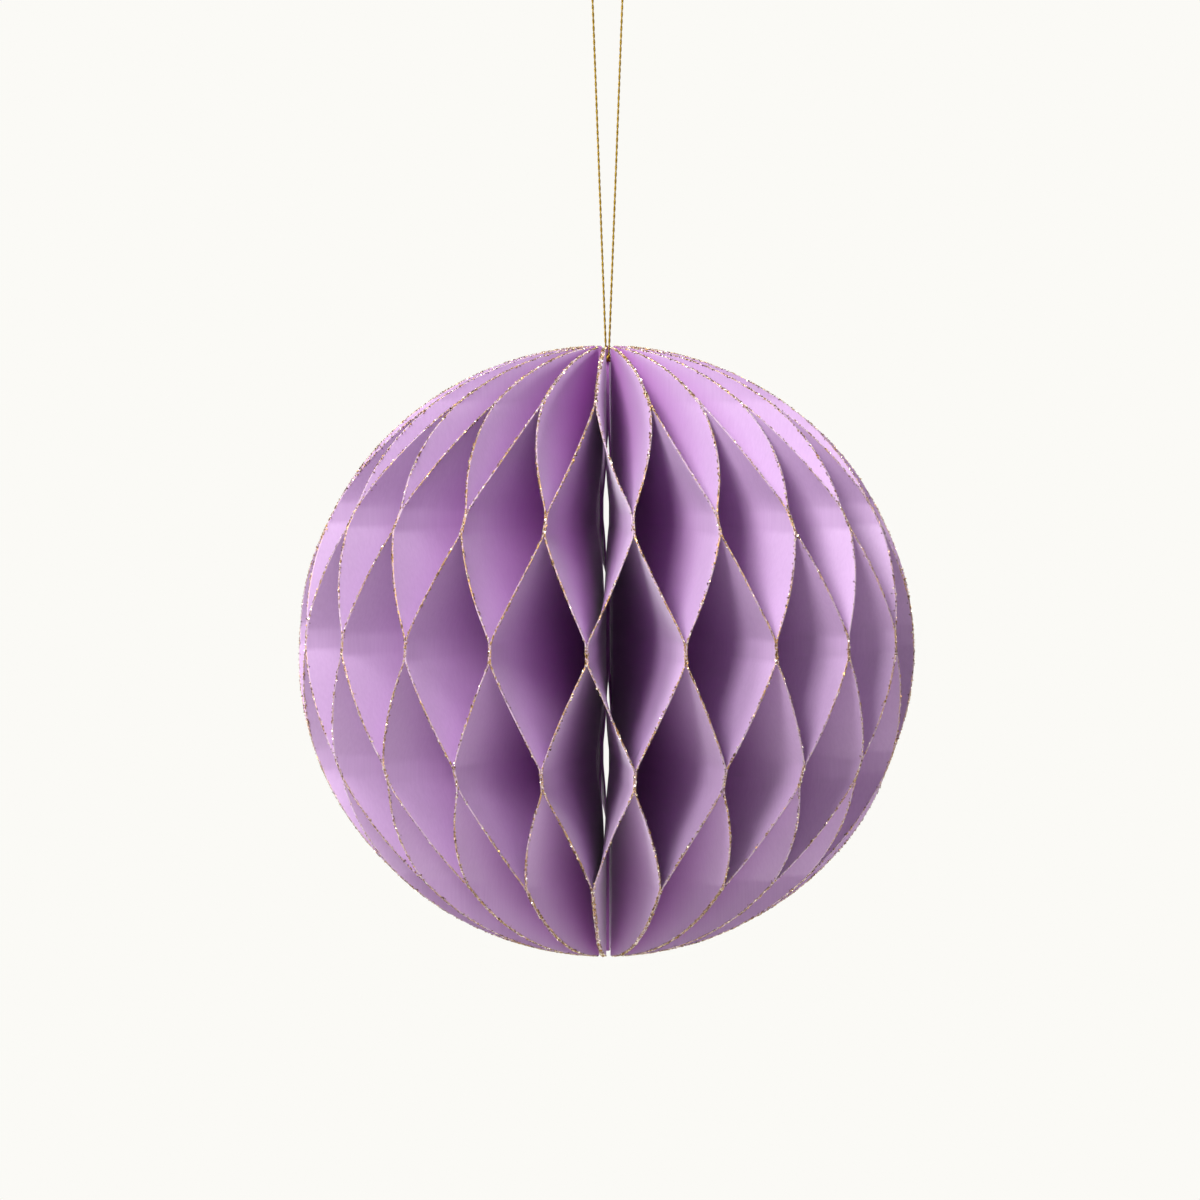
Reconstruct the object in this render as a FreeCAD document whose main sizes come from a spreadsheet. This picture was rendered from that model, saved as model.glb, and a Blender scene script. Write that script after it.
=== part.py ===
"""Honeycomb paper ball: folded card leaves bonded in alternate rows round an open core, hung on a cord.

Every leaf is a half disc of card. At the even glue rows it lies on one side's plane and is bonded
to its neighbour there, at the odd rows it lies on the other side's plane, and between two rows the
card crosses over in flat panels that fan out from the inner ends of the two glue lines.
Frame: millimetres, origin at the ball's centre, +Z up along the core.
"""
import FreeCAD, Part
import math
import os

SIZES = {
    "ball_diameter": 120.0,  # across the leaves' outer edges, level
    "ball_height": 118.8,  # the same edges, pole to pole, as if the core were closed
    "core_diameter": 9.0,  # open core that the inner edges leave at the even rows and the poles
    "core_swell": 4.0,  # and how much farther out they stand at the odd rows
    "leaf_thickness": 0.3,
    "leaf_pairs": 20,  # bonded pairs round the ball; twice as many leaves
    "row_pitch": 23.9,  # height from one glue row to the next
    "row_lift": 3.3,  # the middle glue row lies this far above the centre
    "glue_height": 3.9,  # height of each bonded band
    "edge_cuts": 3,  # straight cuts in which a panel's outer edge follows the ball
    "edge_margin": 3.0,  # least height left between the last glue band and the pole
    "cord_diameter": 0.45,
    "knot_diameter": 1.9,
    "knot_depth": 2.2,  # the knot's centre below the rim of the core
    "knot_shoulder": 0.6,  # its flat top above its centre
    "cord_seat_gap": 0.01,  # room under the cord's slanting ends
    "knot_setback": 4.1,  # the knot's centre behind the core's axis
    "punch_clearance": 0.1,  # between the knot and the punched hole that it sits in
}

# The cord's route from end to end: sideways, and above its seat on the knot.
CORD_ROUTE = [(-0.28, 0.0), (-3.05, 72.6), (-1.3, 74.5), (1.3, 74.5), (3.05, 72.6), (0.28, 0.0)]

doc = FreeCAD.newDocument("honeycomb_ball")
sheet = doc.addObject("Spreadsheet::Sheet", "Sizes")
for line, (alias, value) in enumerate(SIZES.items(), start=1):
    sheet.set(f"A{line}", alias)
    sheet.set(f"B{line}", str(value))
    sheet.setAlias(f"B{line}", alias)
doc.recompute()


def size(alias):
    """Value of one driving dimension in the sheet."""
    return float(sheet.get(alias))


PAIRS = int(size("leaf_pairs"))
EDGE_CUTS = int(size("edge_cuts"))
PAIR_ANGLE = 2 * math.pi / PAIRS
SIDE_ANGLE = PAIR_ANGLE / 2  # between a leaf's even rows' plane and its odd rows' plane
BALL_RADIUS = size("ball_diameter") / 2
BALL_HALF_HEIGHT = size("ball_height") / 2
CORE_RADIUS = size("core_diameter") / 2
RIM_HEIGHT = BALL_HALF_HEIGHT * math.sqrt(1 - (CORE_RADIUS / BALL_RADIUS) ** 2)


def outline_radius(height):
    """Distance from the core's axis to the leaves' outer edges at a height."""
    return BALL_RADIUS * math.sqrt(1 - (height / BALL_HALF_HEIGHT) ** 2)


def glue_rows():
    """Numbers of the glue rows that fit between the poles: 0 is the middle one."""
    reach = RIM_HEIGHT - size("edge_margin") - size("glue_height") / 2
    lowest = math.ceil((-reach - size("row_lift")) / size("row_pitch"))
    highest = math.floor((reach - size("row_lift")) / size("row_pitch"))
    return range(lowest, highest + 1)


def straight_edges(points):
    """Straight edges from each point to the next."""
    return [Part.LineSegment(a, b).toShape() for a, b in zip(points, points[1:])]


class Leaf:
    """One leaf in its first place: even rows on the plane X = 0, odd rows turned by hand * SIDE_ANGLE."""

    def __init__(self, hand):
        middle = hand * SIDE_ANGLE / 2
        across = FreeCAD.Vector(math.cos(middle), math.sin(middle), 0) * hand
        self.hand = hand
        self.wall = across * (size("leaf_thickness") / math.cos(SIDE_ANGLE / 2))
        self.faces = []
        self.rims = []

    def point(self, turn, height, radius):
        """Point of the sheet's first face; turn runs from 0 at the even rows to 1 at the odd rows."""
        angle = self.hand * SIDE_ANGLE * turn
        place = FreeCAD.Vector(math.sin(angle), -math.cos(angle), 0) * radius
        return place + FreeCAD.Vector(0, 0, height) - self.wall * turn

    def inner(self, turn, height):
        """Point of the inner edge."""
        return self.point(turn, height, CORE_RADIUS + size("core_swell") * turn)

    def outer(self, turn, height):
        """Point of the outer edge."""
        return self.point(turn, height, outline_radius(height))

    def outer_arc(self, start, end, inside):
        """Outer edge from start to end: the arc in their plane with inside whose middle is on the ball."""
        middle = (start + end) * 0.5
        reach = middle - inside
        squash = BALL_RADIUS / BALL_HALF_HEIGHT
        base = FreeCAD.Vector(inside.x, inside.y, inside.z * squash)
        ray = FreeCAD.Vector(reach.x, reach.y, reach.z * squash)
        half = base.dot(ray) / ray.dot(ray)
        offset = (base.dot(base) - BALL_RADIUS**2) / ray.dot(ray)
        crown = inside + reach * (math.sqrt(half**2 - offset) - half)
        return Part.Arc(start, crown, end).toShape()

    def outer_cuts(self, start, end, inside):
        """Outer edge from start to end as a few straight cuts between points of that arc."""
        return straight_edges(self.outer_arc(start, end, inside).discretize(EDGE_CUTS + 1))

    def panel(self, corners, outer_edges=(), inner_edges=()):
        """Add one flat panel: straight edges through corners, closed by the outer edges or a straight one."""
        edges = straight_edges(corners)
        self.rims += [edges[place] for place in inner_edges]
        self.rims += outer_edges
        edges += outer_edges or straight_edges([corners[-1], corners[0]])
        self.faces.append(Part.Face(Part.Wire(edges)))

    def band(self, turn, low, high):
        """Add the upright band on one plane between two heights, with its part of both edges."""
        foot, head = self.inner(turn, low), self.inner(turn, high)
        start, end = self.outer(turn, low), self.outer(turn, high)
        arc = self.outer_arc(end, start, (foot + head) * 0.5)
        self.panel([start, foot, head, end], [arc], inner_edges=[1])

    def cap(self, turn, low, pole):
        """Add the flat cap from the last glue band to the pole at one end of the ball."""
        foot, rim = self.inner(turn, low), self.inner(turn, pole)
        start = self.outer(turn, low)
        arc = self.outer_arc(rim, start, FreeCAD.Vector(0, 0, 0) - self.wall * turn)
        self.panel([start, foot, rim], [arc], inner_edges=[1])

    def crossing(self, turn, low, high):
        """Add the three panels between two glue bands: one from each inner corner and one between."""
        foot, head = self.inner(turn, low), self.inner(1 - turn, high)
        start, end = self.outer(turn, low), self.outer(1 - turn, high)
        middle = self.outer(0.5, (low + high) / 2)
        self.panel([start, foot, middle], self.outer_cuts(middle, start, foot))
        self.panel([middle, head, end], self.outer_cuts(end, middle, head))
        self.panel([foot, head, middle], inner_edges=[0])

    def solid(self):
        """Sheet of all the panels, given its thickness by moving it straight across the leaf."""
        half_glue = size("glue_height") / 2
        rows = glue_rows()
        middles = [size("row_lift") + row * size("row_pitch") for row in rows]
        planes = [row % 2 for row in rows]
        self.cap(planes[0], middles[0] + half_glue, -RIM_HEIGHT)
        self.cap(planes[-1], middles[-1] - half_glue, RIM_HEIGHT)
        for middle, plane in list(zip(middles, planes))[1:-1]:
            self.band(plane, middle - half_glue, middle + half_glue)
        for low, high, plane in zip(middles, middles[1:], planes):
            self.crossing(plane, low + half_glue, high - half_glue)
        backs = [face.translated(self.wall) for face in self.faces]
        walls = [edge.extrude(self.wall) for edge in self.rims]
        shell = Part.Shell(self.faces + backs + walls)
        shell.sewShape()
        solid = Part.Solid(shell)
        if solid.Volume < 0:
            solid.reverse()
        return solid


def turned(angle):
    """Placement that turns a sub-part about the core's axis."""
    return FreeCAD.Placement(FreeCAD.Vector(), FreeCAD.Rotation(FreeCAD.Vector(0, 0, 1), math.degrees(angle)))


def add_feature(label, shape, placement=None):
    """Add a sub-part whose shape is worked out above."""
    feature = doc.addObject("Part::Feature", label)
    feature.Label = label
    feature.Shape = shape
    if placement is not None:
        feature.Placement = placement
    return feature


def bind(feature, **expressions):
    """Bind properties of a feature to the sheet; a double underscore stands for a dot."""
    for name, expression in expressions.items():
        feature.setExpression(name.replace("__", "."), expression)


# The punch makes the round hole, open to the core, in the two leaves of the pair at the back.
KNOT_HEIGHT = "sqrt(1 - (Sizes.core_diameter / Sizes.ball_diameter)^2) * Sizes.ball_height / 2 - Sizes.knot_depth"
punch = doc.addObject("Part::Cylinder", "knot_punch")
punch.Label = "knot_punch"
punch.Placement = FreeCAD.Placement(FreeCAD.Vector(), FreeCAD.Rotation(FreeCAD.Vector(0, 1, 0), 90))
bind(
    punch,
    Radius="Sizes.knot_diameter / 2 + Sizes.punch_clearance",
    Height="4 * Sizes.leaf_thickness",
    Placement__Base__x="-2 * Sizes.leaf_thickness",
    Placement__Base__y="Sizes.knot_setback",
    Placement__Base__z=KNOT_HEIGHT,
)

# Leaves in pairs: the two of a pair are bonded face to face on the plane of their even rows.
subparts = []
masters = {hand: Leaf(hand).solid() for hand in (-1, 1)}
for pair in range(PAIRS):
    for hand in (-1, 1):
        label = f"leaf_{len(subparts) + 1:02d}"
        place = turned(pair * PAIR_ANGLE)
        if pair == PAIRS // 2:
            blank = add_feature(label + "_blank", masters[hand], place)
            leaf = doc.addObject("Part::Cut", label)
            leaf.Label = label
            leaf.Base = blank
            leaf.Tool = punch
        else:
            leaf = add_feature(label, masters[hand], place)
        subparts.append(leaf)


def rounded_wire(points):
    """Straight runs joined by tangent arcs; each arc takes 0.45 of its shorter run on both sides."""
    edges = []
    last = points[0]
    for before, corner, after in zip(points, points[1:], points[2:]):
        run_in, run_out = (before - corner), (after - corner)
        cut = 0.45 * min(run_in.Length, run_out.Length)
        half_turn = (math.pi - run_in.getAngle(run_out)) / 2
        radius = cut / math.tan(half_turn)
        start = corner + run_in.normalize() * cut
        end = corner + run_out.normalize() * cut
        inward = (run_in + run_out).normalize()
        crown = corner + inward * (radius / math.cos(half_turn) - radius)
        edges += straight_edges([last, start])
        edges.append(Part.Arc(start, crown, end).toShape())
        print(f"cord bend radius {radius:.2f} mm")
        last = end
    edges += straight_edges([last, points[-1]])
    return Part.Wire(edges)


# Cord: one round section carried along the route.
seat = RIM_HEIGHT - size("knot_depth") + size("knot_shoulder") + size("cord_seat_gap")
route = [FreeCAD.Vector(x, size("knot_setback"), seat + z) for x, z in CORD_ROUTE]
path = rounded_wire(route)
section = Part.Circle(route[0], route[1] - route[0], size("cord_diameter") / 2).toShape()
cord = add_feature("hanging_cord", path.makePipe(Part.Face(Part.Wire(section))))
subparts.append(cord)

# Knot: seated in the punched hole, its top flat where the cord's two ends meet it.
knot = doc.addObject("Part::Sphere", "cord_knot")
knot.Label = "cord_knot"
bind(
    knot,
    Radius="Sizes.knot_diameter / 2",
    Angle2="asin(2 * Sizes.knot_shoulder / Sizes.knot_diameter)",
    Placement__Base__y="Sizes.knot_setback",
    Placement__Base__z=KNOT_HEIGHT,
)
subparts.append(knot)

doc.recompute()

for feature in doc.Objects:
    faults = [state for state in feature.State if state in ("Invalid", "Error")]
    if faults:
        raise RuntimeError(f"{feature.Label} failed: {faults}")
for feature in subparts:
    shape = feature.Shape
    if shape.isNull() or not shape.isValid() or len(shape.Solids) != 1 or shape.Volume <= 0:
        raise RuntimeError(f"{feature.Label} isn't one valid solid")

section_area = math.pi * (size("cord_diameter") / 2) ** 2
print(f"cord {path.Length:.2f} mm, volume {cord.Shape.Volume:.3f}, section x length {section_area * path.Length:.3f}")
first_leaf = subparts[0].Shape
print(f"leaf {first_leaf.Area:.0f} mm2, {first_leaf.Volume:.0f} mm3, {len(first_leaf.Faces)} faces")

os.makedirs("parts", exist_ok=True)
for feature in subparts:
    feature.Shape.exportStep(f"parts/{feature.Label}.step")
print(f"{len(subparts)} sub-parts written")
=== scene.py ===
"""Looks of a hanging honeycomb ball: lilac card leaves with gold glitter edges on a twisted gold cord.

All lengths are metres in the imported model's frame: origin at the ball's centre, +Z up its open core,
the plane of the front pair of leaves on -Y. Angles are radians unless a name says degrees.
"""

import logging
import math
from dataclasses import dataclass
from enum import Enum

import bpy
import numpy as np
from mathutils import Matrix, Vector

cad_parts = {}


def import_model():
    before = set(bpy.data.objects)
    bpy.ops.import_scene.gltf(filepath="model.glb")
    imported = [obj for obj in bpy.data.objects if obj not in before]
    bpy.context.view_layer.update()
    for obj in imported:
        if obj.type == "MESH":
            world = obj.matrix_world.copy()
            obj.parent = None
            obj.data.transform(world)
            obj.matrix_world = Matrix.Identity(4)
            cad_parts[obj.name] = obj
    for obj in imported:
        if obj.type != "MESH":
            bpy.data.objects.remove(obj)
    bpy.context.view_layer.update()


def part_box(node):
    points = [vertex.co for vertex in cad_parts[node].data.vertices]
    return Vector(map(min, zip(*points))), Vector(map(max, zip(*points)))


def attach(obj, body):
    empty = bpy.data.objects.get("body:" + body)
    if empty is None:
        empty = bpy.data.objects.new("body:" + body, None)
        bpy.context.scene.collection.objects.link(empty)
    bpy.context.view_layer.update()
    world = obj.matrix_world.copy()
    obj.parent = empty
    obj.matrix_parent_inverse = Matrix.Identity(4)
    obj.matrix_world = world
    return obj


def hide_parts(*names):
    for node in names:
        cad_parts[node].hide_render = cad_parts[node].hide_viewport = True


MILLIMETRE = 0.001
BODY = "root"

Colour = tuple[float, float, float, float]
Feed = bpy.types.NodeSocket | float | tuple

logging.basicConfig(level=logging.INFO, format="%(message)s")
log = logging.getLogger("paper_ball")


class Slot(Enum):
    """Material slots of the record."""

    CARD = "leaf_card"
    GLITTER = "gold_glitter"
    CORD = "gold_cord"


class Draw(Enum):
    """First seed of each kind of random draw; a leaf adds its own number to it."""

    BOW = 100
    COVER = 400
    GRAINS = 700


def rgb(red: int, green: int, blue: int) -> Colour:
    """Linear colour of a screen colour.

    Args:
        red, green, blue: screen values from 0 to 255.

    Returns:
        Linear red, green and blue, and an alpha of 1.
    """
    values = [channel / 255 for channel in (red, green, blue)]
    linear = [v / 12.92 if v <= 0.04045 else ((v + 0.055) / 1.055) ** 2.4 for v in values]
    return (*linear, 1.0)


def unit(vectors: np.ndarray) -> np.ndarray:
    """Each row's vector divided by its length."""
    return vectors / np.linalg.norm(vectors, axis=-1, keepdims=True)


def distances(line: np.ndarray) -> np.ndarray:
    """Distance along a line of points at each of them, from 0 at the first."""
    return np.append(0, np.cumsum(np.linalg.norm(np.diff(line, axis=0), axis=1)))


def direction(turn: float, lift: float) -> Vector:
    """Unit vector at an angle from the front towards the right, and an angle up from the level."""
    level = math.cos(lift)
    return Vector((math.sin(turn) * level, -math.cos(turn) * level, math.sin(lift)))


def circles(across: np.ndarray, up: np.ndarray, sides: int) -> np.ndarray:
    """Points of circles of radius 1: cos(angle) * across + sin(angle) * up.

    Args:
        across, up: unit vectors of each circle's plane, one row a circle.
        sides: points on each circle.

    Returns:
        Array of points, by circle and place on it.
    """
    angle = np.linspace(0, 2 * math.pi, sides, endpoint=False)[None, :, None]
    return np.cos(angle) * across[:, None] + np.sin(angle) * up[:, None]


def tube_faces(rows: int, ring: int, closed: bool = False) -> np.ndarray:
    """Quads between successive rings of a tube; vertex number is row * ring + place in the ring.

    Args:
        rows: number of rings.
        ring: vertices in each ring.
        closed: True to join the last ring to the first.

    Returns:
        Array of quads.
    """
    first_rows = np.arange(rows if closed else rows - 1)
    row, place = np.meshgrid(first_rows, np.arange(ring), indexing="ij")
    after, beside = (row + 1) % rows, (place + 1) % ring
    quads = [row * ring + place, row * ring + beside, after * ring + beside, after * ring + place]
    return np.stack([q.ravel() for q in quads], axis=1)


def new_mesh(name: str, vertices: np.ndarray, faces: np.ndarray, smooth: bool) -> bpy.types.Object:
    """Make a mesh object at the origin.

    Args:
        name: the object's name.
        vertices: array of points, one row each.
        faces: array of vertex numbers, one face a row.
        smooth: True for smooth shading.

    Returns:
        The new object, linked to the scene.
    """
    mesh = bpy.data.meshes.new(name)
    mesh.from_pydata(vertices.tolist(), [], faces.tolist())
    mesh.polygons.foreach_set("use_smooth", np.full(len(mesh.polygons), smooth))
    mesh.update()
    thing = bpy.data.objects.new(name, mesh)
    bpy.context.scene.collection.objects.link(thing)
    return thing


def add_attribute(thing: bpy.types.Object, name: str, values: np.ndarray) -> None:
    """Give each vertex of a mesh one number under a name.

    Args:
        thing: the mesh object.
        name: the attribute's name.
        values: one number for each vertex.
    """
    layer = thing.data.attributes.new(name, "FLOAT", "POINT")
    layer.data.foreach_set("value", values.astype(np.float32).ravel())


def report(piece: bpy.types.Object) -> None:
    """Log a piece's name and how many faces it has."""
    log.info("%s: %d faces", piece.name, len(piece.data.polygons))


@dataclass(frozen=True)
class NodeBench:
    """Short ways to add nodes to a tree and join them up."""

    tree: bpy.types.NodeTree

    def feed(self, node: bpy.types.Node, feeds: dict[str | int, Feed]) -> None:
        """Link or set a node's inputs.

        Args:
            node: the node.
            feeds: for each input, by name or place, the socket to link or the value to set.
        """
        for key, source in feeds.items():
            if isinstance(source, bpy.types.NodeSocket):
                self.tree.links.new(source, node.inputs[key])
            else:
                node.inputs[key].default_value = source

    def node(self, kind: str, feeds: dict[str | int, Feed] | None = None,
             **settings: str | bpy.types.NodeTree) -> bpy.types.Node:
        """Add a shader node.

        Args:
            kind: the node's type, without its ShaderNode prefix.
            feeds: its inputs, as feed() takes them.
            settings: its properties, such as its operation, set before the inputs.

        Returns:
            The new node.
        """
        made = self.tree.nodes.new("ShaderNode" + kind)
        for name, value in settings.items():
            setattr(made, name, value)
        self.feed(made, feeds or {})
        return made

    def math(self, operation: str, first: Feed, second: Feed = 0.0) -> bpy.types.NodeSocket:
        """Work out one number.

        Args:
            operation: the Math node's operation.
            first, second: what it works on.

        Returns:
            Socket with the result.
        """
        return self.node("Math", {0: first, 1: second}, operation=operation).outputs["Value"]

    def attribute(self, name: str) -> bpy.types.NodeSocket:
        """Socket with the mesh's numbers of that name."""
        return self.node("Attribute", attribute_name=name).outputs["Fac"]

    def mix(self, low: Feed, high: Feed, share: bpy.types.NodeSocket) -> bpy.types.NodeSocket:
        """Mix two colours.

        Args:
            low, high: the colours at share 0 and at share 1.
            share: socket with the share.

        Returns:
            Socket with the mixed colour.
        """
        share_place, low_place, high_place, colour_out = 0, 6, 7, 2
        feeds = {share_place: share, low_place: low, high_place: high}
        return self.node("Mix", feeds, data_type="RGBA").outputs[colour_out]


def new_material(name: str) -> tuple[bpy.types.Material, NodeBench, bpy.types.Node]:
    """Start a material.

    Args:
        name: the material's name.

    Returns:
        The material, a bench for its nodes, and its shader.
    """
    made = bpy.data.materials.new(name)
    made.use_nodes = True
    return made, NodeBench(made.node_tree), made.node_tree.nodes["Principled BSDF"]


def fibre_group() -> bpy.types.NodeTree:
    """Node group of paper fibres: noise at one scale across and another along, built once.

    Returns:
        The group, with output Streaks from 0 to 1.
    """
    name = "paper_fibres"
    if name in bpy.data.node_groups:
        return bpy.data.node_groups[name]
    group = bpy.data.node_groups.new(name, "ShaderNodeTree")
    group.interface.new_socket("Vector", in_out="INPUT", socket_type="NodeSocketVector")
    group.interface.new_socket("Across", in_out="INPUT", socket_type="NodeSocketFloat")
    group.interface.new_socket("Along", in_out="INPUT", socket_type="NodeSocketFloat")
    group.interface.new_socket("Streaks", in_out="OUTPUT", socket_type="NodeSocketFloat")
    bench = NodeBench(group)
    given = group.nodes.new("NodeGroupInput").outputs
    result = group.nodes.new("NodeGroupOutput")
    scales = bench.node("CombineXYZ", {"X": given["Across"], "Y": given["Across"], "Z": given["Along"]})
    stretch = bench.node("VectorMath", {0: given["Vector"], 1: scales.outputs["Vector"]},
                         operation="MULTIPLY")
    noise = bench.node("TexNoise", {"Vector": stretch.outputs["Vector"], "Scale": 1.0, "Detail": 3.0})
    bench.feed(result, {"Streaks": noise.outputs["Fac"]})
    return group


@dataclass(frozen=True)
class CardFinish:
    """Lilac card, dyed through, with long fine fibres and a pearly surface, and painted shade that deepens
    its colour towards the core.
    """

    colour: Colour = rgb(205, 168, 213)
    pale: Colour = rgb(219, 187, 226)
    # deep: painted shade, the colour mixed in towards the core where the cells lie in shadow.
    deep: Colour = rgb(190, 122, 197)
    edge: Colour = rgb(206, 176, 200)
    gold: Colour = rgb(178, 136, 78)
    roughness: float = 0.6
    gold_roughness: float = 0.35
    ior: float = 1.55
    sheen: float = 0.4
    sheen_roughness: float = 0.3
    fibres_across: float = 2600.0
    fibres_along: float = 150.0
    fibre_depth: float = 0.02 * MILLIMETRE
    fibre_strength: float = 0.12
    cloud_scale: float = 60.0
    cloud_shades: tuple[float, float] = (0.95, 1.05)
    dust_scale: float = 3000.0
    bare_level: float = 0.95
    cover_weight: float = 0.5
    dust_softness: float = 0.08

    def card_colour_with_painted_shade(self, bench: NodeBench, place: bpy.types.NodeSocket,
             streaks: bpy.types.NodeSocket) -> bpy.types.NodeSocket:
        """Colour of the card: its dye varied by fibres and by slow clouds, with painted shade deepening it
        towards the core.

        Args:
            bench: the card's nodes.
            place: socket with the point's place.
            streaks: socket with the fibres' streaks.

        Returns:
            Socket with the colour.
        """
        tone = bench.mix(self.colour, self.pale, streaks)
        cloud = bench.node("TexNoise", {"Vector": place, "Scale": self.cloud_scale, "Detail": 2.0})
        darkest, lightest = self.cloud_shades
        shade = bench.node("MapRange", {
            "Value": cloud.outputs["Fac"], "To Min": darkest, "To Max": lightest})
        toned = bench.node("VectorMath", {0: tone, "Scale": shade.outputs["Result"]}, operation="SCALE")
        # Painted shade: the deep colour mixed in by the leaf's share attribute, which grows towards the
        # core.
        return bench.mix(toned.outputs["Vector"], self.deep, bench.attribute("painted_shade_share"))

    def dusted(self, bench: NodeBench, place: bpy.types.NodeSocket,
               rim: bpy.types.NodeSocket) -> bpy.types.NodeSocket:
        """Share of gold dust on the rim: noise past the level bare_level - cover_weight * glitter.

        Args:
            bench: the card's nodes.
            place: socket with the point's place.
            rim: socket that is 1 on the cut edge and 0 elsewhere.

        Returns:
            Socket with the share.
        """
        dust = bench.node("TexNoise", {"Vector": place, "Scale": self.dust_scale, "Detail": 1.0})
        cover = bench.math("MULTIPLY", bench.attribute("glitter"), self.cover_weight)
        level = bench.math("SUBTRACT", self.bare_level, cover)
        speck = bench.node("MapRange", {
            "Value": dust.outputs["Fac"],
            "From Min": level,
            "From Max": bench.math("ADD", level, self.dust_softness),
        })
        return bench.math("MULTIPLY", rim, speck.outputs["Result"])

    def material(self) -> bpy.types.Material:
        """Build the material: dyed card with painted shade towards the core and a bump of fibres, whose rim
        is cut edge with gold dust.

        Returns:
            The node material.
        """
        made, bench, shader = new_material("lilac_card")
        place = bench.node("TexCoord").outputs["Object"]
        fibres = bench.node("Group", {
            "Vector": place, "Across": self.fibres_across, "Along": self.fibres_along,
        }, node_tree=fibre_group()).outputs["Streaks"]
        rim = bench.attribute("rim")
        cut = bench.mix(self.card_colour_with_painted_shade(bench, place, fibres), self.edge, rim)
        dusted = self.dusted(bench, place, rim)
        gloss = bench.node("MapRange", {
            "Value": dusted, "To Min": self.roughness, "To Max": self.gold_roughness})
        bump = bench.node("Bump", {
            "Height": fibres, "Strength": self.fibre_strength, "Distance": self.fibre_depth})
        bench.feed(shader, {
            "Base Color": bench.mix(cut, self.gold, dusted),
            "Metallic": dusted,
            "Roughness": gloss.outputs["Result"],
            "Normal": bump.outputs["Normal"],
            "IOR": self.ior,
            "Sheen Weight": self.sheen,
            "Sheen Roughness": self.sheen_roughness,
        })
        return made


@dataclass(frozen=True)
class GlitterFinish:
    """Metallised grains: dark, mid and pale gold, one tone a grain."""

    dark: Colour = rgb(84, 56, 24)
    middle: Colour = rgb(186, 144, 74)
    bright: Colour = rgb(255, 250, 230)
    middle_tone: float = 0.45
    metallic: float = 0.75
    roughness: float = 0.25

    def material(self) -> bpy.types.Material:
        """Build the material; each grain's tone picks its place on a colour ramp.

        Returns:
            The node material.
        """
        made, bench, shader = new_material("gold_glitter")
        ramp = bench.node("ValToRGB", {"Fac": bench.attribute("tone")})
        stops = ramp.color_ramp.elements
        stops[0].color, stops[1].color = self.dark, self.bright
        stops.new(self.middle_tone).color = self.middle
        bench.feed(shader, {
            "Base Color": ramp.outputs["Color"], "Metallic": self.metallic, "Roughness": self.roughness})
        return made


@dataclass(frozen=True)
class ThreadFinish:
    """Metallised thread: narrow gold foil wound round each ply."""

    dark: Colour = rgb(62, 45, 8)
    bright: Colour = rgb(184, 150, 48)
    metallic: float = 0.95
    roughness: float = 0.3
    windings: float = 5200.0
    groove_depth: float = 0.03 * MILLIMETRE
    groove_strength: float = 0.5

    def material(self) -> bpy.types.Material:
        """Build the material: the foil's edges repeat along the ply as bump and darker lines.

        Their level is a sine of the distance along the ply, with so many windings a metre.

        Returns:
            The node material.
        """
        made, bench, shader = new_material("gold_thread")
        turns = bench.math("MULTIPLY", bench.attribute("along"), self.windings * 2 * math.pi)
        level = bench.node("MapRange", {
            "Value": bench.math("SINE", turns), "From Min": -1.0}).outputs["Result"]
        bump = bench.node("Bump", {
            "Height": level, "Strength": self.groove_strength, "Distance": self.groove_depth})
        bench.feed(shader, {
            "Base Color": bench.mix(self.dark, self.bright, level),
            "Metallic": self.metallic,
            "Roughness": self.roughness,
            "Normal": bump.outputs["Normal"],
        })
        return made


@dataclass(frozen=True)
class BallForm:
    """Driving sizes of the ball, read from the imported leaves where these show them."""

    pairs: int = 20
    core: float = 4.5 * MILLIMETRE
    core_swell: float = 4.0 * MILLIMETRE
    card: float = 0.3 * MILLIMETRE
    row_pitch: float = 23.9 * MILLIMETRE
    row_lift: float = 3.3 * MILLIMETRE
    glue_height: float = 3.9 * MILLIMETRE
    rows: int = 5

    @property
    def radius(self) -> float:
        """Level radius: the side pair's reach from the core's axis."""
        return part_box(f"leaf_{self.pairs // 2 + 1:02d}")[1][0]

    @property
    def rim_height(self) -> float:
        """Height of the leaves' top corner at the core."""
        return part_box("leaf_01")[1][2]

    @property
    def half_height(self) -> float:
        """Half the height of the round outline, as if the core were closed."""
        return self.rim_height / math.sqrt(1 - (self.core / self.radius) ** 2)

    @property
    def side_angle(self) -> float:
        """Angle between a leaf's even rows' plane and its odd rows' plane."""
        return math.pi / self.pairs

    def outline(self, height: np.ndarray) -> np.ndarray:
        """Outer edge's distance from the axis: radius * sqrt(1 - (height / half height)^2)."""
        return self.radius * np.sqrt(np.maximum(1 - (height / self.half_height) ** 2, 0))


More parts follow.
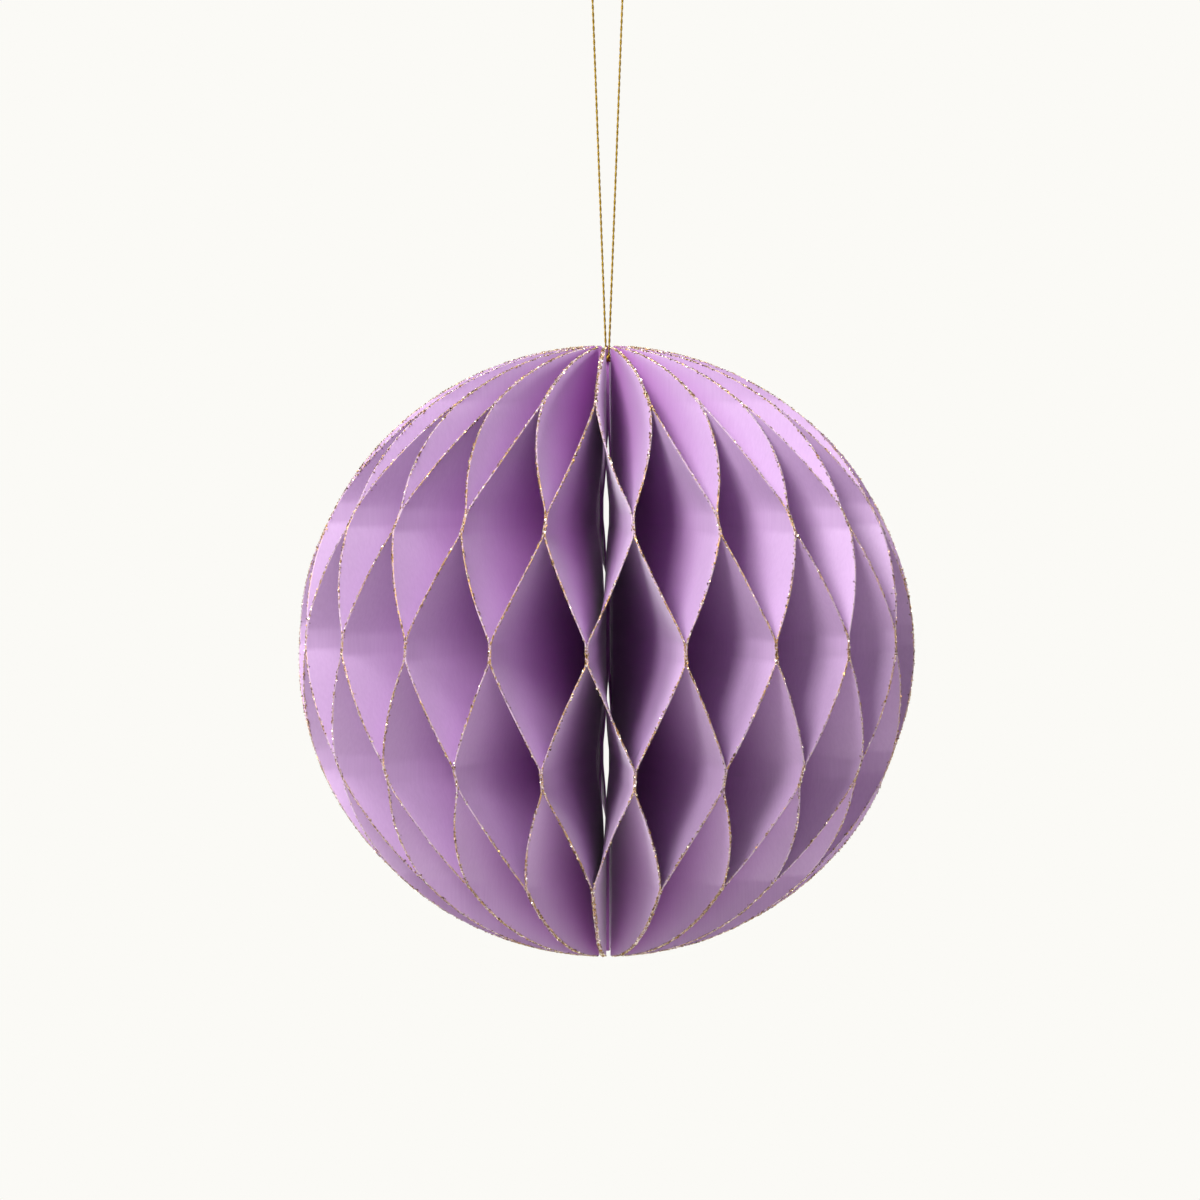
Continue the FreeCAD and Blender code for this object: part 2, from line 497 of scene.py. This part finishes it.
@dataclass
class CardLeaf:
    """One leaf: a half disc of card that weaves between the planes of its two neighbours."""

    form: BallForm
    number: int
    columns: int = 26
    fold_round: float = 0.5 * MILLIMETRE
    fold_steps: int = 7
    fold_samples: int = 9
    span_steps: int = 17
    cap_steps: int = 18
    notch_gap: float = 0.4 * MILLIMETRE
    deep_round: float = 5.0 * MILLIMETRE
    deep_samples: int = 15
    crease_share: float = 0.3
    eases: tuple[tuple[float, float], ...] = ((0, 0.6), (0, 0), (0.3, 0), (0.6, 0))
    ease_power: int = 8
    core_lag: float = 1.7
    bow: float = 0.25 * MILLIMETRE
    bow_pace: float = 0.9
    bow_reach: float = 0.8
    edge_strip: float = 0.25 * MILLIMETRE
    # Painted shade on the card: none outside this share across the leaf, full at the given width further
    # in.
    painted_shade_start: float = 0.87
    painted_shade_width: float = 0.6
    cover_paces: tuple[float, ...] = (90, 230, 520)
    cover_wave: float = 0.2
    cover_range: tuple[float, float] = (0.55, 1.0)
    least_cover: float = 0.15

    @property
    def hand(self) -> int:
        """Side of the pair's plane that the leaf lies on: -1 or 1."""
        return 1 if self.number % 2 == 0 else -1

    @property
    def turned(self) -> float:
        """Angle of the pair's plane about the core's axis."""
        return (self.number - 1) // 2 * 2 * self.form.side_angle

    @property
    def middle_angle(self) -> float:
        """Angle halfway between the planes that the leaf weaves between."""
        return self.turned + self.hand * self.form.side_angle / 2

    def fold_lines(self) -> tuple[np.ndarray, np.ndarray]:
        """Edges of the glue bands.

        Returns:
            Their heights from the lowest up, and the leaf's turn there, 0 or 1.
        """
        rows = np.arange(self.form.rows) - self.form.rows // 2
        middles = self.form.row_lift + rows * self.form.row_pitch
        half = self.form.glue_height / 2
        heights = np.stack([middles - half, middles + half], axis=1).ravel()
        return heights, np.repeat(rows % 2, 2).astype(float)

    def turn(self, height: np.ndarray) -> np.ndarray:
        """Share of the way over to the odd rows' plane at the outer edge.

        Between two bands the share s runs straight, less soft * s * (1 - s)^8 where the leaf eases out
        of a band, with one softness for each end of the crossing. Each fold is rounded by a short average.

        Args:
            height: heights.

        Returns:
            The share at each height.
        """
        lines, turns = self.fold_lines()
        at = height[..., None] + np.linspace(-1, 1, self.fold_samples) * self.fold_round
        eased = np.interp(at, lines, turns)
        for low, (soft_low, soft_high) in zip(range(1, len(lines) - 1, 2), self.eases):
            step = np.clip((at - lines[low]) / (lines[low + 1] - lines[low]), 0, 1)
            ease = (soft_high * (1 - step) * step ** self.ease_power
                    - soft_low * step * (1 - step) ** self.ease_power)
            eased += (turns[low + 1] - turns[low]) * ease
        return eased.mean(axis=-1)

    def deep_turn(self, height: np.ndarray) -> np.ndarray:
        """The same share deeper in, where the card bends softly: an average over a longer stretch."""
        lines, turns = self.fold_lines()
        offsets = np.linspace(-1, 1, self.deep_samples) * self.deep_round
        return np.interp(height[..., None] + offsets, lines, turns).mean(axis=-1)

    def heights(self) -> np.ndarray:
        """Heights of the mesh's rows.

        Returns:
            Heights from the lowest up: close together at the folds, in even steps between them, and in
            even steps of the outline's angle, asin(height / half height), over the caps.
        """
        form = self.form
        lines, _ = self.fold_lines()
        close = (lines[:, None] + np.linspace(-1, 1, self.fold_steps) * self.fold_round).ravel()
        spans = [np.linspace(a, b, self.span_steps) for a, b in zip(lines[1::2], lines[2::2])]
        low, top = np.arcsin(lines[[0, -1]] / form.half_height)
        pole = math.acos((form.core + self.notch_gap) / form.radius)
        caps = [form.half_height * np.sin(np.linspace(a, b, self.cap_steps))
                for a, b in ((-pole, low), (top, pole))]
        return np.unique(np.round(np.concatenate([close, *spans, *caps, lines]), 6))

    def surface(self, height: np.ndarray, share: np.ndarray, side: np.ndarray | float,
                inward: np.ndarray | float = 0.0) -> np.ndarray:
        """Points of the leaf.

        A level line runs out from the axis at angle turned + hand * side_angle * turn, where turn is
        turn(height) at the outer edge, deep_turn(height) from crease_share inwards, and turn(height) to
        the power of core_lag at the core, which crosses over later. The card's thickness is laid on along
        one level direction, square to the leaf's middle angle.

        Args:
            height: heights.
            share: place across the leaf, 0 on the inner edge to 1 on the outer edge.
            side: 0 on the first face to 1 on the second.
            inward: distance that the point is drawn in from that place.

        Returns:
            Array of points.
        """
        form = self.form
        crisp, deep = self.turn(height), self.deep_turn(height)
        at_core = crisp ** self.core_lag
        near_edge = np.clip(1 - (1 - share) / self.crease_share, 0, 1)
        near_edge = near_edge * near_edge * (3 - 2 * near_edge)
        turn = deep + (crisp - deep) * near_edge + (at_core - deep) * (1 - share) ** 2
        angle = self.turned + self.hand * form.side_angle * turn
        inner = form.core + form.core_swell * at_core
        reach = inner + (form.outline(height) - inner) * share - inward
        wall = self.hand * form.card / math.cos(form.side_angle / 2)
        shift = wall * (side - turn)
        x = reach * np.sin(angle) + shift * math.cos(self.middle_angle)
        y = -reach * np.cos(angle) + shift * math.sin(self.middle_angle)
        return np.stack([x, y, height + 0 * x], axis=-1)

    def bulge(self, height: np.ndarray, share: np.ndarray) -> np.ndarray:
        """Small sideways bow of each crossing, of the leaf's own phase.

        It is bow * sine of height * 4 * turn * (1 - turn) * sine of share: none at the bands and the core.

        Args:
            height: heights.
            share: place across the leaf, as in surface().

        Returns:
            Distances sideways.
        """
        turn = self.turn(height)
        phase = np.random.default_rng(Draw.BOW.value + self.number).uniform(0, 2 * math.pi)
        sway = np.sin(height / self.form.row_pitch * math.pi * self.bow_pace + phase)
        return self.bow * sway * 4 * turn * (1 - turn) * np.sin(share * math.pi * self.bow_reach)

    def glitter_cover(self, height: np.ndarray) -> np.ndarray:
        """Share of the edge under glitter: slow waves along it with phases of the leaf's own.

        Args:
            height: heights.

        Returns:
            The share at each height.
        """
        random = np.random.default_rng(Draw.COVER.value + self.number)
        phases = random.uniform(0, 2 * math.pi, len(self.cover_paces))
        waves = sum(np.sin(height * pace + phase) for pace, phase in zip(self.cover_paces, phases))
        return np.clip(random.uniform(*self.cover_range) + self.cover_wave * waves, self.least_cover, 1.0)

    def build(self, finish: bpy.types.Material) -> bpy.types.Object:
        """Make the leaf's closed mesh: each row is a ring, out along one face and back along the other.

        The last column but one of each face lies only edge_strip in from the outer edge, so that the
        cut edge's colour and gold dust stay on a narrow strip.

        Args:
            finish: the card's material.

        Returns:
            The leaf's object.
        """
        rows = self.heights()
        height = np.repeat(rows[:, None], self.columns, axis=1)
        share = np.broadcast_to(np.append(np.linspace(0, 1, self.columns - 1), 1.0), height.shape)
        inward = np.zeros_like(height)
        inward[:, -2] = np.minimum(self.edge_strip, (self.form.outline(rows) - self.form.core) / 2)
        sideways = np.array([math.cos(self.middle_angle), math.sin(self.middle_angle), 0.0])
        bend = self.bulge(height, share)[..., None] * sideways
        first, second = (self.surface(height, share, side, inward) + bend for side in (0.0, 1.0))
        ring = np.concatenate([first, second[:, ::-1]], axis=1)
        count, around = ring.shape[:2]
        walls = tube_faces(count, around)
        place = np.arange(self.columns - 1)
        low_end, high_end = (
            np.stack([base + place, base + place + 1, base + around - 2 - place, base + around - 1 - place],
                     axis=1)
            for base in (0, (count - 1) * around))
        faces = np.concatenate([walls, low_end[:, ::-1], high_end])
        if self.hand > 0:
            faces = faces[:, ::-1]
        leaf = new_mesh(f"card_leaf_{self.number:02d}", ring.reshape(-1, 3), faces, smooth=True)
        rim = np.zeros((count, around))
        rim[:, self.columns - 1 : self.columns + 1] = 1.0
        add_attribute(leaf, "rim", rim)
        add_attribute(leaf, "glitter", np.repeat(self.glitter_cover(rows)[:, None], around, axis=1))
        # Share of painted shade: 0 near the outer edge, rising to 1 towards the core, where the cells lie
        # in shadow.
        painted_shade_share = np.clip((self.painted_shade_start - share) / self.painted_shade_width, 0, 1)
        add_attribute(leaf, "painted_shade_share", np.concatenate([painted_shade_share, painted_shade_share[:, ::-1]], axis=1))
        leaf.data.materials.append(finish)
        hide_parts(f"leaf_{self.number:02d}")
        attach(leaf, BODY)
        return leaf


@dataclass
class EdgeGlitter:
    """Glitter glued along one leaf's outer edge: small irregular tetrahedra, turned at random.

    grains is how many there would be if the edge were covered all along.
    """

    leaf: CardLeaf
    grains: int = 1250
    rim_share: float = 0.995
    mean_depth: float = 0.09 * MILLIMETRE
    standout: float = 0.04 * MILLIMETRE
    edge_depth: float = 0.07 * MILLIMETRE
    smallest: float = 0.11 * MILLIMETRE
    largest: float = 0.26 * MILLIMETRE
    squash: tuple[float, float] = (0.6, 1.3)
    tone_spread: tuple[float, float] = (0.5, 0.8)

    def shapes(self, random: np.random.Generator, count: int) -> np.ndarray:
        """Corners of the grains about their own centres.

        Each is a regular tetrahedron with every corner drawn in or out, turned by the rotation matrix of
        a random unit quaternion (w, x, y, z).

        Args:
            random: where the draws come from.
            count: number of grains.

        Returns:
            Array of corners by grain, for grains of size 1.
        """
        corners = unit(np.array([[1, 1, 1], [1, -1, -1], [-1, 1, -1], [-1, -1, 1]]))
        w, x, y, z = unit(random.normal(size=(count, 4))).T
        spin = np.array([
            [1 - 2 * (y * y + z * z), 2 * (x * y - w * z), 2 * (x * z + w * y)],
            [2 * (x * y + w * z), 1 - 2 * (x * x + z * z), 2 * (y * z - w * x)],
            [2 * (x * z - w * y), 2 * (y * z + w * x), 1 - 2 * (x * x + y * y)],
        ]).transpose(2, 0, 1)
        stretched = corners[None] * random.uniform(*self.squash, (count, 4, 1))
        return np.einsum("nij,nkj->nki", spin, stretched)

    def build(self, finish: bpy.types.Material) -> bpy.types.Object:
        """Scatter the grains: evenly along the outline, and thinner with the distance in from the edge.

        Args:
            finish: the glitter's material.

        Returns:
            The glitter's object.
        """
        number, form = self.leaf.number, self.leaf.form
        random = np.random.default_rng(Draw.GRAINS.value + number)
        rim = math.asin(form.rim_height / form.half_height) * self.rim_share
        height = form.half_height * np.sin(random.uniform(-rim, rim, self.grains))
        height = height[random.random(self.grains) < self.leaf.glitter_cover(height)]
        count = len(height)
        inward = random.exponential(self.mean_depth, count) - self.standout
        on_edge, on_face = random.uniform(0, 1, count), random.integers(0, 2, count)
        side = np.where(inward < self.edge_depth, on_edge, on_face)
        centre = self.leaf.surface(height, np.ones(count), side, inward)
        size = random.uniform(self.smallest, self.largest, count)
        points = centre[:, None] + self.shapes(random, count) * size[:, None, None]
        sides = np.array([[0, 1, 2], [0, 3, 1], [0, 2, 3], [1, 3, 2]])
        faces = (np.arange(count)[:, None, None] * 4 + sides).reshape(-1, 3)
        glitter = new_mesh(f"edge_glitter_{number:02d}", points.reshape(-1, 3), faces, smooth=False)
        add_attribute(glitter, "tone", np.repeat(random.beta(*self.tone_spread, count), 4))
        glitter.data.materials.append(finish)
        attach(glitter, BODY)
        return glitter


@dataclass
class HangingCord:
    """Gold cord of two twisted plies: up from its knot, over its hook and down again."""

    diameter: float = 0.45 * MILLIMETRE
    twist_pitch: float = 2.7 * MILLIMETRE
    steps_a_twist: int = 18
    ply_radius: float = 0.128 * MILLIMETRE
    ply_sides: int = 8
    setback: float = 4.1 * MILLIMETRE
    spline_order: int = 3
    spline_steps: int = 64
    knot_steps: int = 140

    def route(self) -> np.ndarray:
        """Control points of the cord, one more on each long strand below the bends."""
        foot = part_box("hanging_cord")[0][2]
        steps = [(-0.28, 0.0), (-2.947, 69.9), (-3.05, 72.6), (-1.3, 74.5),
                 (1.3, 74.5), (3.05, 72.6), (2.947, 69.9), (0.28, 0.0)]
        return np.array([(x * MILLIMETRE, self.setback, foot + z * MILLIMETRE) for x, z in steps])

    def centre_line(self) -> np.ndarray:
        """Points along the smooth line: read from the route's NURBS spline, then spaced evenly.

        Returns:
            Array of points, steps_a_twist of them to one twist of the plies.
        """
        curve = bpy.data.curves.new("cord_route", "CURVE")
        curve.dimensions = "3D"
        spline = curve.splines.new("NURBS")
        route = self.route()
        spline.points.add(len(route) - 1)
        spline.points.foreach_set("co", np.hstack([route, np.ones((len(route), 1))]).ravel())
        spline.order_u = self.spline_order
        spline.use_endpoint_u = True
        spline.resolution_u = self.spline_steps
        holder = bpy.data.objects.new("cord_route", curve)
        mesh = bpy.data.meshes.new_from_object(holder)
        points = np.empty(len(mesh.vertices) * 3)
        mesh.vertices.foreach_get("co", points)
        bpy.data.objects.remove(holder)
        bpy.data.curves.remove(curve)
        bpy.data.meshes.remove(mesh)
        points = points.reshape(-1, 3)
        walked = distances(points)
        even = np.linspace(0, walked[-1], int(walked[-1] / self.twist_pitch * self.steps_a_twist))
        return np.stack([np.interp(even, walked, points[:, axis]) for axis in range(3)], axis=1)

    def plies(self, line: np.ndarray) -> tuple[np.ndarray, np.ndarray, np.ndarray]:
        """Two round plies wound about a line that lies in one upright plane.

        Ply p's centre stands off the line by its own radius at angle 2 pi * distance / pitch + pi * p.

        Args:
            line: points of the line.

        Returns:
            Vertices, quads and each vertex's distance along the line.
        """
        forward = unit(np.gradient(line, axis=0))
        sideways = unit(np.cross(forward, np.array([0.0, 1.0, 0.0])))
        level = np.cross(sideways, forward)
        walked = distances(line)
        standoff = self.diameter / 2 - self.ply_radius
        ring = self.ply_radius * circles(sideways, level, self.ply_sides)
        quads = tube_faces(len(line), self.ply_sides)[:, ::-1]
        vertices, faces = [], []
        for ply in range(2):
            angle = (2 * math.pi * walked / self.twist_pitch + math.pi * ply)[:, None]
            centre = line + standoff * (np.cos(angle) * sideways + np.sin(angle) * level)
            vertices.append((centre[:, None] + ring).reshape(-1, 3))
            faces.append(quads + len(line) * self.ply_sides * ply)
        along = np.tile(np.repeat(walked, self.ply_sides), 2)
        return np.concatenate(vertices), np.concatenate(faces), along

    def build(self, finish: bpy.types.Material, knot: bpy.types.Object) -> bpy.types.Object:
        """Args:
            finish: the thread's material.
            knot: the piece that ties its ends; not used.

        Returns:
            The cord's object.
        """
        line = self.centre_line()
        vertices, faces, along = self.plies(line)
        cord = new_mesh("gold_cord_loop", vertices, faces, smooth=True)
        add_attribute(cord, "along", along)
        cord.data.materials.append(finish)
        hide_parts("hanging_cord")
        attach(cord, BODY)
        return cord

    def build_knot(self, finish: bpy.types.Material) -> bpy.types.Object:
        """Make the knot: the cord run round the line of an overhand knot, seated in the punched hole.

        The line is (sin t + 2 sin 2t, cos t - 2 cos 2t, -sin 3t), scaled to the knot's box.

        Args:
            finish: the thread's material.

        Returns:
            The knot's object.
        """
        low, high = (np.array(corner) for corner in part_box("cord_knot"))
        t = np.linspace(0, 2 * math.pi, self.knot_steps, endpoint=False)
        line = np.stack([np.sin(t) + 2 * np.sin(2 * t), np.cos(t) - 2 * np.cos(2 * t), -np.sin(3 * t)],
                        axis=1)
        room = (high - low) / 2 - self.diameter / 2
        line = (low + high) / 2 + line / np.abs(line).max(axis=0) * room
        forward = unit(np.roll(line, -1, axis=0) - np.roll(line, 1, axis=0))
        sideways = unit(np.cross(forward, np.array([0.0, 0.0, 1.0])))
        ring = circles(sideways, np.cross(sideways, forward), self.ply_sides * 2)
        vertices = (line[:, None] + self.diameter / 2 * ring).reshape(-1, 3)
        faces = tube_faces(len(line), ring.shape[1], closed=True)[:, ::-1]
        knot = new_mesh("gold_cord_knot", vertices, faces, smooth=True)
        walked = np.linalg.norm(np.diff(line, axis=0, append=line[:1]), axis=1).cumsum()
        add_attribute(knot, "along", np.repeat(walked, ring.shape[1]))
        knot.data.materials.append(finish)
        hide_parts("cord_knot")
        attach(knot, BODY)
        return knot


@dataclass(frozen=True)
class Lamp:
    """Square soft lamp that faces the ball.

    turn_degrees goes from the front towards the right, lift_degrees up from the level; power is in watts.
    """

    name: str
    turn_degrees: float
    lift_degrees: float
    power: float
    size: float = 0.4
    distance: float = 1.4

    def build(self) -> None:
        """Add the lamp to the scene."""
        data = bpy.data.lights.new(self.name, "AREA")
        data.size = self.size
        data.energy = self.power
        lamp = bpy.data.objects.new(self.name, data)
        away = direction(math.radians(self.turn_degrees), math.radians(self.lift_degrees))
        lamp.location = away * self.distance
        lamp.rotation_euler = (-away).to_track_quat("-Z", "Y").to_euler()
        bpy.context.scene.collection.objects.link(lamp)


@dataclass(frozen=True)
class Studio:
    """Camera, lamps, even light, floor and backdrop colour."""

    frame_width: float = 233.8 * MILLIMETRE
    camera_distance: float = 1.6
    camera_turn: float = math.radians(3.54)
    camera_lift: float = math.radians(3.66)
    centre_right: float = 1.2 * MILLIMETRE
    centre_down: float = 9.9 * MILLIMETRE
    backdrop: Colour = rgb(251, 250, 246)
    even_colour: Colour = (1.0, 0.99, 0.98, 1.0)
    even_strength: float = 0.16
    lamps: tuple[Lamp, ...] = (
        Lamp("key", -22, 35, power=12.5),
        Lamp("top key", -52, 58, power=10),
        Lamp("side key", -70, 8, power=6),
        Lamp("fill", 20, 20, power=1, size=0.9),
        Lamp("right key", 108, 25, power=8),
        Lamp("back key", 175, 35, power=11),
    )
    floor_height: float = -0.35
    floor_radius: float = 0.8
    floor_sides: int = 96
    floor_roughness: float = 0.9
    fade_from: float = 0.3
    fade_to: float = 0.95

    def add_camera(self) -> None:
        """Place the camera so that the ball's centre lies a little right of and below the middle."""
        back = direction(self.camera_turn, self.camera_lift)
        right = Vector((math.cos(self.camera_turn), math.sin(self.camera_turn), 0))
        up = back.cross(right)
        target = -right * self.centre_right + up * self.centre_down
        data = bpy.data.cameras.new("camera")
        data.lens = data.sensor_width * self.camera_distance / self.frame_width
        camera = bpy.data.objects.new("camera", data)
        camera.location = target + back * self.camera_distance
        camera.rotation_euler = (-back).to_track_quat("-Z", "Y").to_euler()
        bpy.context.scene.collection.objects.link(camera)
        bpy.context.scene.camera = camera

    def add_world(self) -> None:
        """Light the scene evenly, and show the backdrop's colour to the camera and in reflections."""
        world = bpy.data.worlds.new("studio")
        bpy.context.scene.world = world
        world.use_nodes = True
        bench, nodes = NodeBench(world.node_tree), world.node_tree.nodes
        soft = nodes["Background"]
        bench.feed(soft, {"Color": self.even_colour, "Strength": self.even_strength})
        seen = bench.node("Background", {"Color": self.backdrop})
        path = bench.node("LightPath")
        shown = path.outputs["Is Camera Ray"]
        for kind in ("Is Glossy Ray", "Is Transmission Ray"):
            shown = bench.math("MAXIMUM", shown, path.outputs[kind])
        pick = bench.node("MixShader", {
            "Fac": shown, 1: soft.outputs["Background"], 2: seen.outputs["Background"]})
        bench.feed(nodes["World Output"], {"Surface": pick.outputs["Shader"]})

    def floor_paint(self) -> bpy.types.Material:
        """Build the floor's material: pale, clear from below, and fading out towards the floor's edge.

        Returns:
            The node material.
        """
        made, bench, shader = new_material("pale_floor")
        bench.feed(shader, {"Base Color": self.backdrop, "Roughness": self.floor_roughness})
        place = bench.node("TexCoord").outputs["Object"]
        level = bench.node("VectorMath", {0: place, 1: (1.0, 1.0, 0.0)}, operation="MULTIPLY")
        reach = bench.node("VectorMath", {0: level.outputs["Vector"]}, operation="LENGTH")
        fade = bench.node("MapRange", {
            "Value": reach.outputs["Value"],
            "From Min": self.floor_radius * self.fade_from,
            "From Max": self.floor_radius * self.fade_to,
        })
        under = bench.node("NewGeometry").outputs["Backfacing"]
        blend = bench.node("MixShader", {
            "Fac": bench.math("MAXIMUM", fade.outputs["Result"], under),
            1: shader.outputs["BSDF"],
            2: bench.node("BsdfTransparent").outputs["BSDF"],
        })
        bench.feed(made.node_tree.nodes["Material Output"], {"Surface": blend.outputs["Shader"]})
        return made

    def add_floor(self) -> None:
        """Add a round pale floor well below the ball, which takes its shadow and gives light back."""
        rim = circles(np.array([[1.0, 0.0, 0.0]]), np.array([[0.0, 1.0, 0.0]]), self.floor_sides)[0]
        rim = rim * self.floor_radius + [0, 0, self.floor_height]
        floor = new_mesh("floor", rim, np.arange(self.floor_sides)[None], smooth=False)
        floor.data.materials.append(self.floor_paint())

    def build(self) -> None:
        """Set the view and add everything."""
        bpy.context.scene.view_settings.view_transform = "Standard"
        self.add_camera()
        self.add_world()
        for lamp in self.lamps:
            lamp.build()
        self.add_floor()


def main() -> None:
    """Build the studio, the cord, the leaves and their glitter, in that order, and report each piece."""
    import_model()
    Studio().build()
    thread = ThreadFinish().material()
    cord = HangingCord()
    knot = cord.build_knot(thread)
    report(knot)
    report(cord.build(thread, knot))
    form = BallForm()
    card = CardFinish().material()
    gold = GlitterFinish().material()
    for number in range(1, 2 * form.pairs + 1):
        leaf = CardLeaf(form, number)
        report(leaf.build(card))
        report(EdgeGlitter(leaf).build(gold))


if __name__ == "__main__":
    main()
